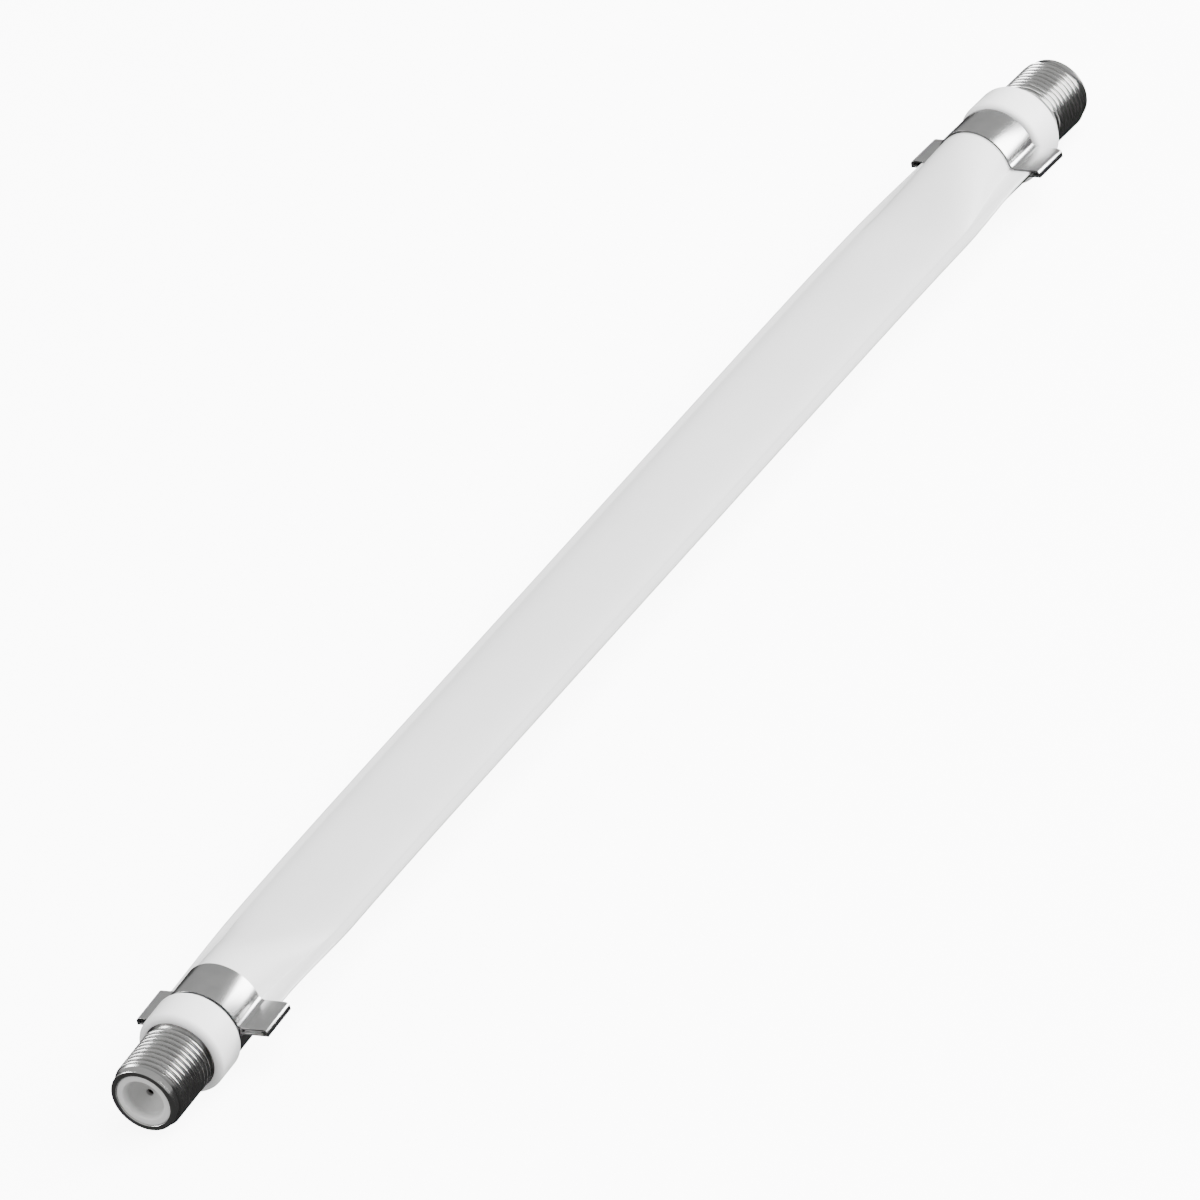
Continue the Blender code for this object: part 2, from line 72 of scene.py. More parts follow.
# Strip, as this scene shapes it
FLAT_POWER = 3.5                  # how square the flat strip's shoulders are
ROUND_POWER = 2.0                 # the same where the strip lies round the barrel
CORE_FALL = 4.0                   # slope on which the core's outline goes on falling past its edge
WELD_FILLET = 0.12 * MM           # softness of the corner between core and margin
CLAMPED_FILLET = 0.40 * MM        # what the clamp adds to that softness
SEAM_DEPTH = 0.03 * MM            # groove along the edge where the two films meet
CROWN = 0.35 * MM                 # how much lower the flat strip's edges lie than its middle
BEND_REACH = 7.0 * MM             # stretch on each side of the hinge that bends

# Clamp
CLAMP_LENGTH = 5.8 * MM
SHEET_THICKNESS = 0.28 * MM
SHEET_EDGE = 0.04 * MM            # rounding of the sheet's cut edges
CUT_FACING = 0.8                  # how squarely a face looks along the port to be a cut edge
EAR_OVERHANG = 0.45 * MM          # lower ear's edge beyond the flat strip's edge
ROOT_BEND = 1.0 * MM              # middle radius of the bend from an ear into the arch
HEM_CORNER = 0.45 * MM            # middle radius of the bend into the hem

# Port barrel
END_GAP = 0.05 * MM               # between faces that meet end to end
TURNED_GAP = 0.04 * MM            # between a turned piece and the one round it
THREAD_RADIUS = 4.75 * MM
THREAD_PITCH = 0.794 * MM
THREAD_DEPTH = 0.43 * MM
THREAD_LENGTH = 7.9 * MM
THREAD_ROOT = THREAD_RADIUS - THREAD_DEPTH
CREST_SHARE = 0.30                # part of a pitch that stays flat at the crest
ROOT_SHARE = 0.16                 # and at the root
NOSE_RADIUS = 4.42 * MM
NOSE_LENGTH = 1.0 * MM
NOSE_CHAMFER = 0.18 * MM
BORE_RADIUS = 3.70 * MM
TAIL_RADIUS = 4.80 * MM
TAIL_INSET = 0.30 * MM            # barrel's back end inside the clamp
NECK_LENGTH = 0.40 * MM           # plain neck between the collar and the thread
SMALL_EDGE = 0.08 * MM            # rounding of the turned pieces' small corners

# Collar
COLLAR_LENGTH = 5.50 * MM
COLLAR_SETOFF = 0.35 * MM         # open groove between the clamp and the collar
COLLAR_BORE = THREAD_RADIUS + TURNED_GAP
COLLAR_RADIUS = 5.80 * MM
COLLAR_FRONT_EDGE = 0.90 * MM     # radius of the rounded rim towards the thread
COLLAR_BACK_EDGE = 0.80 * MM      # radius of the rounded rim towards the clamp
COLLAR_BORE_EDGE = 0.12 * MM

# Port insulator
INSULATOR_RADIUS = BORE_RADIUS - TURNED_GAP
INSULATOR_BACK = 4.55 * MM        # place of its back end, where the tail insulator meets it
FACE_RECESS = 0.15 * MM           # its face behind the nose
DISH_DEPTH = 1.7 * MM
DISH_LIP = 0.80 * MM              # flat ring round the dish
DISH_WALL_RUN = 0.40 * MM         # steep wall between the lip and the dish's cone
DISH_WALL_DEPTH = 0.90 * MM
DISH_CORNER = 0.60 * MM           # rounding between that wall and the cone
MOUTH_RADIUS = 0.5 * MM
MOUTH_WALL = 0.45 * MM            # insulator left in front of the contact
CONTACT_CLEARANCE = 0.79 * MM     # radius of the hollow round the contact

# Places along an end, measured outwards from the clamp's inner edge
COLLAR_START = CLAMP_LENGTH + COLLAR_SETOFF
COLLAR_END = COLLAR_START + COLLAR_LENGTH
THREAD_START = COLLAR_END + NECK_LENGTH
THREAD_END = THREAD_START + THREAD_LENGTH
PORT_END = THREAD_END + NOSE_LENGTH
FACE_END = PORT_END - FACE_RECESS

# Fineness
TURN_STEPS = 112
EDGE_STEPS = 6
ROWS_PER_PITCH = 14
SHOULDER_STEPS = 26
MARGIN_STEPS = 5
MARGIN_SPREAD = 1.5               # how much closer together the margin's first points are
RIM_STEPS = 6
BEND_STEPS = 10
ARCH_STEPS = 40
FINE_ROW = 0.75 * MM
COARSE_ROW = 2.0 * MM
SHARP_ANGLE = 40                  # edges sharper than this, in degrees, aren't shaded smooth
STRIP_SHARP_ANGLE = 50
THREAD_SHARP_ANGLE = 60

# Looks
PAINTED_RECESS_SHADE = 0.55               # painted shade: how much darker the grooves and the dish's floor are coloured than their surroundings
PAINTED_HALF_RECESS_SHADE = 0.64          # the same painted shade, halfway down the dish
# The dip to 0.76 is painted shade in the crease at the core's edge, and the fall to 0.50 is painted
# shade on the strip's rounded rim.
JACKET_GREYS_WITH_PAINTED_SHADE = [                 # (share of the way from the strip's middle to its edge, grey)
    (0.0, 0.80), (0.80, 0.79), (0.84, 0.76), (0.88, 0.82), (0.96, 0.80), (1.0, 0.50),
]
NOISE_LOW = 0.3                   # most of a noise texture lies between this
NOISE_HIGH = 0.7                  # and this
ROUGHNESS_SPREAD = 0.05           # how far plastic's roughness strays either way
EVEN = (1.0, 1.0, 1.0)            # marks that run no way in particular
ALONG_STRIP = (0.05, 1.0, 1.0)    # marks drawn out along the strip, which lies along X
ROUND_BARREL = (1.0, 0.05, 0.05)  # marks drawn out across that, in Y and Z
JACKET_GRAIN = (0.4, 1.0, 1.0)    # drawn out a little along the strip

# Camera
CAMERA_YAW = math.radians(-53.25)
CAMERA_PITCH = math.radians(29.0)
CAMERA_ROLL = math.radians(-14.9)
CAMERA_DISTANCE = 5.0
CAMERA_AIM_HEIGHT = 6.0 * MM
CAMERA_SIDE_SHIFT = -0.69 * MM
CAMERA_RISE_SHIFT = -2.23 * MM
SENSOR_WIDTH = 36.0               # in millimetres, as Blender takes it
FRAME_WIDTH = 146.83 * MM         # width that the frame spans at the aim point
NEAREST_SEEN = 0.1
FARTHEST_SEEN = 100.0

# Studio
FLOOR_SIZE = 4.0
FLOOR_GLOW = 8.0                  # makes the floor nearly white to the camera
MIRRORED_ROOM = [(0.0, 0.04), (0.02, 0.35), (1.0, 0.42)]  # (how far up a direction points, grey)
FILLING_ROOM = [(0.0, 0.75), (1.0, 0.55)]                 # the same, for scattered light

# Sockets of the colour mixing node, whose names repeat
MIX_FACTOR = 0
MIX_FIRST = 6
MIX_SECOND = 7
MIX_RESULT = 2

HINGE = Vector(frame["joints"][0]["pos_m"])
END_TILT = math.atan(STRIP_RISE * RISE_POWER / STRIP_HALF_LENGTH)
HALVES = {"near": HALF_TURN, "far": 0.0}  # each half with its turn about Z


# Mesh helpers

def mesh_object(name, mesh):
    obj = bpy.data.objects.new(name, mesh)
    bpy.context.scene.collection.objects.link(obj)
    return obj


def finished_mesh(name, bm, sharp_angle=SHARP_ANGLE):
    bmesh.ops.recalc_face_normals(bm, faces=bm.faces)
    mesh = bpy.data.meshes.new(name)
    bm.to_mesh(mesh)
    bm.free()
    mesh.shade_smooth()
    mesh.set_sharp_from_angle(angle=math.radians(sharp_angle))
    return mesh


def bridge(bm, ring, next_ring):
    """Quads between two closed rings of as many points."""
    for i in range(len(ring)):
        j = (i + 1) % len(ring)
        bm.faces.new((ring[i], ring[j], next_ring[j], next_ring[i]))


def arc(centre, radius, start, stop, steps):
    """Points on an arc from one angle to another, in degrees."""
    points = []
    for step in range(steps + 1):
        angle = math.radians(start + (stop - start) * step / steps)
        points.append((centre[0] + radius * math.cos(angle), centre[1] + radius * math.sin(angle)))
    return points


def round_corner(before, corner, after, radius):
    """Points of the arc that rounds a corner of an outline."""
    inward = (before - corner).normalized()
    onward = (after - corner).normalized()
    opening = inward.angle(onward)
    centre = corner + (inward + onward).normalized() * radius / math.sin(opening / 2)
    reach = radius / math.tan(opening / 2)
    start = corner + inward * reach - centre
    stop = corner + onward * reach - centre
    sweep = math.pi - opening
    points = []
    for step in range(EDGE_STEPS + 1):
        share = step / EDGE_STEPS
        from_start = math.sin((1 - share) * sweep) / math.sin(sweep)
        from_stop = math.sin(share * sweep) / math.sin(sweep)
        points.append(centre + start * from_start + stop * from_stop)
    return points


def rounded(corners):
    """An outline of (radius, along) points from corners of (radius, along, rounding)."""
    outline = []
    places = [Vector((radius, along)) for radius, along, _ in corners]
    for i, (_, _, rounding) in enumerate(corners):
        if rounding > 0.0:
            after = places[(i + 1) % len(places)]
            outline.extend(round_corner(places[i - 1], places[i], after, rounding))
        else:
            outline.append(places[i])
    return [(point[0], point[1]) for point in outline]


def turned_piece(name, outline, shape=None, depth=None, sharp_angle=SHARP_ANGLE):
    """Revolve a closed outline of (radius, along) points about Z.

    A shape gives a point's radius from its own radius, its place along the axis and its angle. A
    depth gives how deep a point lies in a recess, from 0 to 1, and is kept for the material, which
    paints shade by it.
    """
    bm = bmesh.new()
    depth_layer = bm.verts.layers.float.new("depth")
    rings = []
    for step in range(TURN_STEPS):
        angle = math.tau * step / TURN_STEPS
        ring = []
        for radius, along in outline:
            if shape:
                radius = shape(radius, along, angle)
            vert = bm.verts.new((radius * math.cos(angle), radius * math.sin(angle), along))
            vert[depth_layer] = depth(radius, along) if depth else 0.0
            ring.append(vert)
        rings.append(ring)
    for i, ring in enumerate(rings):
        bridge(bm, ring, rings[(i + 1) % TURN_STEPS])
    return mesh_object(name, finished_mesh(name, bm, sharp_angle))


# Strip

def flare(along):
    """How far the strip has opened up to go round the barrel, from 0 to 1."""
    share = (along - (STRIP_HALF_LENGTH - FLARE_LENGTH)) / FLARE_LENGTH
    share = min(max(share, 0.0), 1.0)
    return share * share * (3.0 - 2.0 * share)


def strip_place(along, across, height):
    """A place on the strip in the row frame; along is negative in the near half."""
    side = -1.0 if along < 0.0 else 1.0
    within = min(abs(along), STRIP_HALF_LENGTH)
    beyond = abs(along) - within
    share = within / STRIP_HALF_LENGTH
    drop = STRIP_RISE * share ** RISE_POWER
    slope = STRIP_RISE * RISE_POWER * share ** (RISE_POWER - 1) / STRIP_HALF_LENGTH
    tilt = math.atan(slope)
    x = within + beyond * math.cos(tilt) + height * math.sin(tilt)
    z = -drop - beyond * math.sin(tilt) + height * math.cos(tilt)
    return HINGE + Vector((side * x, across, z))


def soft_max(first, second, softness):
    """The larger of two heights, with a fillet where they cross."""
    blend = max(softness - abs(first - second), 0.0) / softness
    return max(first, second) + blend * blend * softness / 4


def core_height(across, half_width, top, power):
    """Height of the jacket over the core; beyond the core it goes on falling steeply."""
    if across >= half_width:
        return -CORE_FALL * (across - half_width)
    return top * (1.0 - (across / half_width) ** power) ** 0.5


def strip_quarter(along):
    """(across, height) points of the strip's outside, from its middle line to its edge."""
    opened = flare(abs(along))
    half_width = CORE_HALF_WIDTH + (SLEEVE_RADIUS - CORE_HALF_WIDTH) * opened + JACKET_THICKNESS
    top = JACKET_BASE + (SLEEVE_RADIUS - JACKET_BASE) * opened + JACKET_THICKNESS
    power = FLAT_POWER + (ROUND_POWER - FLAT_POWER) * opened
    softness = WELD_FILLET + CLAMPED_FILLET * opened
    edge = (STRIP_WIDTH - CLAMPED_NARROWING * opened) / 2 - MARGIN_TOP
    across_places = [
        half_width * math.sin(QUARTER_TURN * step / SHOULDER_STEPS)
        for step in range(SHOULDER_STEPS + 1)
    ]
    across_places += [
        half_width + (edge - half_width) * (step / MARGIN_STEPS) ** MARGIN_SPREAD
        for step in range(1, MARGIN_STEPS + 1)
    ]
    points = []
    for across in across_places:
        core = core_height(across, half_width, top, power)
        points.append((across, soft_max(core, MARGIN_TOP, softness)))
    rim_height = points[-1][1]
    for step in range(1, RIM_STEPS):
        angle = QUARTER_TURN * step / RIM_STEPS
        points.append((edge + MARGIN_TOP * math.sin(angle), rim_height * math.cos(angle)))
    return points + [(edge + MARGIN_TOP - SEAM_DEPTH, 0.0)]


def ring_from_quarter(quarter):
    """A closed ring from its quarter, which runs from the top to the side."""
    right = quarter[:-1]
    below = [(across, -height) for across, height in reversed(quarter[1:])]
    left = [(-across, -height) for across, height in quarter[:-1]]
    above = [(-across, height) for across, height in reversed(quarter[1:])]
    return right + below + left + above


def strip_stations():
    """Places of the strip's rows, closer together where it opens and where it bends."""
    places = [0.0]
    tip = STRIP_HALF_LENGTH + CLAMP_LENGTH - FILM_INSET
    flare_start = STRIP_HALF_LENGTH - FLARE_LENGTH
    while places[-1] < tip:
        fine = places[-1] < BEND_REACH or places[-1] > flare_start - COARSE_ROW
        places.append(min(places[-1] + (FINE_ROW if fine else COARSE_ROW), tip))
    return [-place for place in reversed(places[1:])] + places


def sleeve_ring(along):
    """The hollow round the barrel, with a point for each of the outside's."""
    quarter = []
    for across, height in strip_quarter(along):
        reach = math.hypot(across, height)
        quarter.append((SLEEVE_RADIUS * across / reach, SLEEVE_RADIUS * height / reach))
    return ring_from_quarter(quarter)


def strip_mesh():
    """The whole strip as one closed mesh, hollow at each end where the barrel's tail goes in."""
    bm = bmesh.new()
    across_layer = bm.verts.layers.float.new("across")

    def add_ring(along, ring):
        verts = []
        for across, height in ring:
            share = across / (STRIP_WIDTH / 2)
            sag = CROWN * (1.0 - flare(abs(along))) * share ** 2
            vert = bm.verts.new(strip_place(along, across, height - sag))
            vert[across_layer] = share
            verts.append(vert)
        return verts

    places = strip_stations()
    rings = [add_ring(place, ring_from_quarter(strip_quarter(place))) for place in places]
    for ring, next_ring in zip(rings, rings[1:]):
        bridge(bm, ring, next_ring)
    for tip, ring in ((places[0], rings[0]), (places[-1], rings[-1])):
        hollow_end = math.copysign(STRIP_HALF_LENGTH + SLEEVE_START, tip)
        mouth_ring = add_ring(tip, sleeve_ring(tip))
        inner_ring = add_ring(hollow_end, sleeve_ring(tip))
        bridge(bm, ring, mouth_ring)
        bridge(bm, mouth_ring, inner_ring)
        bm.faces.new(inner_ring)
    return finished_mesh("strip", bm, STRIP_SHARP_ANGLE)


def add_strip(finish):
    strip = mesh_object("strip", strip_mesh())
    strip.data.materials.append(finish)
    layers = ("upper_jacket", "lower_jacket", "shield", "dielectric", "conductor")
    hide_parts(*[f"{prefix}_{layer}" for prefix in HALVES for layer in layers])
    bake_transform(strip)


# Pieces of an end, with Z outward along the port's axis, X up and Y across

def thread_shape(radius, along, angle):
    """Draw the barrel's threaded stretch in to a right-hand thread that runs out at both ends."""
    if radius < (THREAD_RADIUS + NOSE_RADIUS) / 2 or not THREAD_START < along < THREAD_END:
        return radius
    turns = along / THREAD_PITCH - angle / math.tau
    from_crest = 1.0 - abs(2.0 * (turns - math.floor(turns)) - 1.0)
    share = (from_crest - CREST_SHARE) / (1.0 - CREST_SHARE - ROOT_SHARE)
    share = min(max(share, 0.0), 1.0)
    cut = THREAD_RADIUS - THREAD_DEPTH * share
    lead_in = NOSE_RADIUS + (THREAD_END - along)
    run_out = THREAD_ROOT + (along - THREAD_START)
    return min(cut, lead_in, run_out)


def thread_depth(radius, along):
    """How deep a point lies in the thread's groove, from 0 to 1."""
    if not THREAD_START < along < THREAD_END:
        return 0.0
    return min(max((THREAD_RADIUS - radius) / THREAD_DEPTH, 0.0), 1.0)


def dish_depth(radius, along):
    """How deep a point lies below the insulator's face, from 0 to 1."""
    return min(max((FACE_END - along) / DISH_DEPTH, 0.0), 1.0)


def port_body(name):
    rows = round((THREAD_END - THREAD_START) / THREAD_PITCH * ROWS_PER_PITCH)
    step = (THREAD_END - THREAD_START) / rows
    tail_shoulder = COLLAR_START - END_GAP
    before_thread = [
        (BORE_RADIUS, PORT_END, SMALL_EDGE),
        (NOSE_RADIUS, PORT_END, NOSE_CHAMFER),
        (NOSE_RADIUS, THREAD_END, 0.0),
    ]
    threaded = [(THREAD_RADIUS, THREAD_END - step * row, 0.0) for row in range(1, rows)]
    after_thread = [
        (THREAD_ROOT, THREAD_START, 0.0),
        (THREAD_ROOT, COLLAR_END, 0.0),
        (THREAD_RADIUS, COLLAR_END - END_GAP, 0.0),
        (THREAD_RADIUS, tail_shoulder, 0.0),
        (TAIL_RADIUS, tail_shoulder, 0.0),
        (TAIL_RADIUS, TAIL_INSET, SMALL_EDGE),
        (BORE_RADIUS, TAIL_INSET, SMALL_EDGE),
    ]
    outline = rounded(before_thread + threaded + after_thread)
    return turned_piece(name, outline, thread_shape, thread_depth, THREAD_SHARP_ANGLE)


def collar(name):
    corners = [
        (COLLAR_BORE, COLLAR_END, COLLAR_BORE_EDGE),
        (COLLAR_RADIUS, COLLAR_END, COLLAR_FRONT_EDGE),
        (COLLAR_RADIUS, COLLAR_START, COLLAR_BACK_EDGE),
        (COLLAR_BORE, COLLAR_START, COLLAR_BORE_EDGE),
    ]
    return turned_piece(name, rounded(corners))


def port_insulator(name):
    dish_floor = FACE_END - DISH_DEPTH
    corners = [
        (INSULATOR_RADIUS - DISH_LIP - DISH_WALL_RUN, FACE_END - DISH_WALL_DEPTH, DISH_CORNER),
        (INSULATOR_RADIUS - DISH_LIP, FACE_END, SMALL_EDGE),
        (INSULATOR_RADIUS, FACE_END, SMALL_EDGE),
        (INSULATOR_RADIUS, INSULATOR_BACK, SMALL_EDGE),
        (CONTACT_CLEARANCE, INSULATOR_BACK, SMALL_EDGE),
        (CONTACT_CLEARANCE, dish_floor - MOUTH_WALL, 0.0),
        (MOUTH_RADIUS, dish_floor - MOUTH_WALL, 0.0),
        (MOUTH_RADIUS, dish_floor, SMALL_EDGE),
    ]
    return turned_piece(name, rounded(corners), depth=dish_depth)


def shell_path(hemmed):
    """Half of the middle line of a clamp shell's sheet, from its outer edge to the arch's crown."""
    arch = SLEEVE_RADIUS + JACKET_THICKNESS + LAYER_GAP + SHEET_THICKNESS / 2
    ear_level = MARGIN_TOP + LAYER_GAP + SHEET_THICKNESS / 2
    ear_edge = STRIP_WIDTH / 2 + EAR_OVERHANG
    bend_height = ear_level + ROOT_BEND
    bend_centre = (math.sqrt((arch + ROOT_BEND) ** 2 - bend_height ** 2), bend_height)
    root = math.degrees(math.asin(bend_height / (arch + ROOT_BEND)))
    path = []
    if hemmed:
        hem = ear_edge + END_GAP + SHEET_THICKNESS / 2
        path.append((hem, -(MARGIN_TOP + LAYER_GAP + SHEET_THICKNESS)))
        corner = (hem - HEM_CORNER, ear_level - HEM_CORNER)
        path += arc(corner, HEM_CORNER, 0, 90, BEND_STEPS)
    else:
        path.append((ear_edge, ear_level))
    path += arc(bend_centre, ROOT_BEND, 270, 180 + root, BEND_STEPS)
    return path + arc((0.0, 0.0), arch, root, 90, ARCH_STEPS)[1:]


def sheet_section():
    """(along, out) points round the sheet's section across the clamp, its cut edges rounded."""
    half = SHEET_THICKNESS / 2
    corners = [(0.0, -half), (CLAMP_LENGTH, -half), (CLAMP_LENGTH, half), (0.0, half)]
    return rounded([(along, out, SHEET_EDGE) for along, out in corners])


def clamp_shell(name, hemmed):
    """The upper shell, with hems, or the lower one. Its second material, for the cut edges, paints them
    near-black as shade.
    """
    half_path = shell_path(hemmed)
    path = half_path + [(-across, height) for across, height in reversed(half_path[:-1])]
    facing = 1.0 if hemmed else -1.0
    section = sheet_section()
    bm = bmesh.new()
    rings = []
    for i, (across, height) in enumerate(path):
        before = Vector(path[max(i - 1, 0)])
        after = Vector(path[min(i + 1, len(path) - 1)])
        run = (after - before).normalized()
        out = Vector((run.y, -run.x))
        ring = []
        for along, offset in section:
            point = Vector((across, height)) + out * offset
            ring.append(bm.verts.new((facing * point.y, point.x, along)))
        rings.append(ring)
    for ring, next_ring in zip(rings, rings[1:]):
        bridge(bm, ring, next_ring)
    bm.faces.new(rings[0])
    bm.faces.new(rings[-1])
    mesh = finished_mesh(name, bm)
    for face in mesh.polygons:
        face.material_index = 1 if abs(face.normal.z) > CUT_FACING else 0
    return mesh_object(name, mesh)


def end_placement(turn):
    """Where an end's own axes lie in the row frame, for a half turned about Z."""
    return (
        Matrix.Translation(HINGE)
        @ Matrix.Rotation(turn, 4, "Z")
        @ Matrix.Translation((STRIP_HALF_LENGTH, 0.0, -STRIP_RISE))
        @ Matrix.Rotation(QUARTER_TURN + END_TILT, 4, "Y")
        @ Matrix.Rotation(HALF_TURN, 4, "Z")
    )


def add_end(prefix, turn, finishes):
    pieces = {
        "port_body": (port_body, "nickel_plating"),
        "collar": (collar, "ring_plastic"),
        "port_insulator": (port_insulator, "insulator_plastic"),
        "upper_clamp": (lambda name: clamp_shell(name, hemmed=True), "clamp_steel"),
        "lower_clamp": (lambda name: clamp_shell(name, hemmed=False), "clamp_steel"),
    }
    placement = end_placement(turn)
    for part, (build, slot) in pieces.items():
        piece = build(f"{prefix}_{part}_visual")
        piece.data.transform(placement)
        piece.data.materials.append(finishes[slot])
        # The cut edges get a second, near-black finish: painted shade.
        if slot == "clamp_steel":
            piece.data.materials.append(finishes["painted_shade_cut_edge"])
        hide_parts(f"{prefix}_{part}")
        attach(piece, prefix + "_half")


# Materials

def node_material(name, constants):
    """A material whose shader has these values; returns it with its node tree and its shader."""
    material = bpy.data.materials.new(name)
    material.use_nodes = True
    tree = material.node_tree
    shader = tree.nodes["Principled BSDF"]
    for socket, value in constants.items():
        shader.inputs[socket].default_value = value
    return material, tree, shader


def noise(tree, scale, detail=3.0, stretch=EVEN):
    """Noise over the piece's own coordinates, drawn out along an axis where the stretch is below one."""
    coordinates = tree.nodes.new("ShaderNodeTexCoord")
    mapping = tree.nodes.new("ShaderNodeMapping")
    mapping.inputs["Scale"].default_value = stretch
    texture = tree.nodes.new("ShaderNodeTexNoise")
    texture.inputs["Scale"].default_value = scale
    texture.inputs["Detail"].default_value = detail
    tree.links.new(coordinates.outputs["Object"], mapping.inputs["Vector"])
    tree.links.new(mapping.outputs["Vector"], texture.inputs["Vector"])
    return texture.outputs["Fac"]


def ramp(tree, factor, stops):
    """Colour along a ramp; stops are (place, grey or colour)."""
    node = tree.nodes.new("ShaderNodeValToRGB")
    elements = node.color_ramp.elements
    while len(elements) < len(stops):
        elements.new(1.0)
    for element, (place, colour) in zip(elements, stops):
        element.position = place
        red_green_blue = colour if isinstance(colour, tuple) else (colour, colour, colour)
        element.color = (*red_green_blue, 1.0)
    tree.links.new(factor, node.inputs["Fac"])
    return node.outputs["Color"]


def clouded(tree, texture, dark, light):
    """Colour that drifts with a noise texture between a dark and a light one."""
    return ramp(tree, texture, [(NOISE_LOW, dark), (NOISE_HIGH, light)])


def span(tree, texture, low, high):
    """A noise texture spread over a range of values."""
    node = tree.nodes.new("ShaderNodeMapRange")
    node.inputs["From Min"].default_value = NOISE_LOW
    node.inputs["From Max"].default_value = NOISE_HIGH
    node.inputs["To Min"].default_value = low
    node.inputs["To Max"].default_value = high
    tree.links.new(texture, node.inputs["Value"])
    return node.outputs["Result"]


def add_bump(tree, shader, height, strength, distance):
    bump = tree.nodes.new("ShaderNodeBump")
    bump.inputs["Strength"].default_value = strength
    bump.inputs["Distance"].default_value = distance
    tree.links.new(height, bump.inputs["Height"])
    tree.links.new(bump.outputs["Normal"], shader.inputs["Normal"])


def attribute(tree, name):
    """A value kept on the mesh's points; it is 0 on a mesh that has none."""
    node = tree.nodes.new("ShaderNodeAttribute")
    node.attribute_name = name
    return node.outputs["Fac"]


def mix_colour(tree, mode, first, second, factor=None):
    """Two colours mixed; without a factor the second counts in full."""
    node = tree.nodes.new("ShaderNodeMix")
    node.data_type = "RGBA"
    node.blend_type = mode
    if factor is None:
        node.inputs[MIX_FACTOR].default_value = 1.0
    else:
        tree.links.new(factor, node.inputs[MIX_FACTOR])
    tree.links.new(first, node.inputs[MIX_FIRST])
    tree.links.new(second, node.inputs[MIX_SECOND])
    return node.outputs[MIX_RESULT]


def jacket_finish():
    """Slightly milky white film, with a faint line of painted shade in the crease where the core meets
    the bonded margin, and painted shade on the rounded rim.
    """
    material, tree, shader = node_material("jacket_vinyl", {
        "Specular IOR Level": 0.4,
        "Subsurface Weight": 0.06,
        "Subsurface Scale": 0.6 * MM,
        "Subsurface Radius": (1.0, 1.0, 1.0),
    })
    from_middle = tree.nodes.new("ShaderNodeMath")
    from_middle.operation = "ABSOLUTE"
    tree.links.new(attribute(tree, "across"), from_middle.inputs["Value"])
    # Grey across the strip, with painted shade in the crease at the core's edge and along the rounded
    # rim.
    across = ramp(tree, from_middle.outputs["Value"], JACKET_GREYS_WITH_PAINTED_SHADE)
    mottle = clouded(tree, noise(tree, scale=60.0), dark=0.96, light=1.0)
    colour = mix_colour(tree, "MULTIPLY", across, mottle)
    tree.links.new(colour, shader.inputs["Base Color"])
    roughness = span(tree, noise(tree, scale=900.0), low=0.36, high=0.46)
    tree.links.new(roughness, shader.inputs["Roughness"])
    grain = noise(tree, scale=700.0, detail=2.0, stretch=JACKET_GRAIN)
    add_bump(tree, shader, grain, strength=0.25, distance=0.02 * MM)
    return material


def metal_finish(name, light, dark, roughness, stretch, bump):
    """Metal that still shows fine marks of how it was made, with painted shade in its recesses."""
    material, tree, shader = node_material(name, {"Metallic": 1.0})
    cloud = clouded(tree, noise(tree, scale=450.0, detail=4.0), dark, light)
    # Painted shade: the colour darkens with a point's depth in a groove.
    recess_painted_shade = ramp(tree, attribute(tree, "depth"), [(0.0, 1.0), (1.0, PAINTED_RECESS_SHADE)])
    colour = mix_colour(tree, "MULTIPLY", cloud, recess_painted_shade)
    tree.links.new(colour, shader.inputs["Base Color"])
    marks = noise(tree, scale=5000.0, detail=2.0, stretch=stretch)
    tree.links.new(span(tree, marks, *roughness), shader.inputs["Roughness"])
    add_bump(tree, shader, marks, strength=bump, distance=0.01 * MM)
    return material


def nickel_finish():
    return metal_finish(
        "nickel_plating",
        light=(0.92, 0.92, 0.91),
        dark=(0.80, 0.80, 0.79),
        roughness=(0.16, 0.26),
        stretch=ROUND_BARREL,
        bump=0.15,
    )


# Painted shade: the cut edges are coloured near-black, darker than any bare steel.
def painted_shade_cut_edge_finish():
    return metal_finish(
        "painted_shade_cut_edge",
        light=(0.16, 0.16, 0.16),
        dark=(0.07, 0.07, 0.07),
        roughness=(0.45, 0.6),
        stretch=EVEN,
        bump=0.3,
    )


def clamp_finish():
    return metal_finish(
        "clamp_steel",
        light=(0.84, 0.84, 0.84),
        dark=(0.76, 0.76, 0.76),
        roughness=(0.21, 0.25),
        stretch=ALONG_STRIP,
        bump=0.03,
    )


def contact_finish():
    return metal_finish(
        "spring_bronze",
        light=(0.46, 0.42, 0.36),
        dark=(0.34, 0.31, 0.26),
        roughness=(0.25, 0.4),
        stretch=ALONG_STRIP,
        bump=0.2,
    )


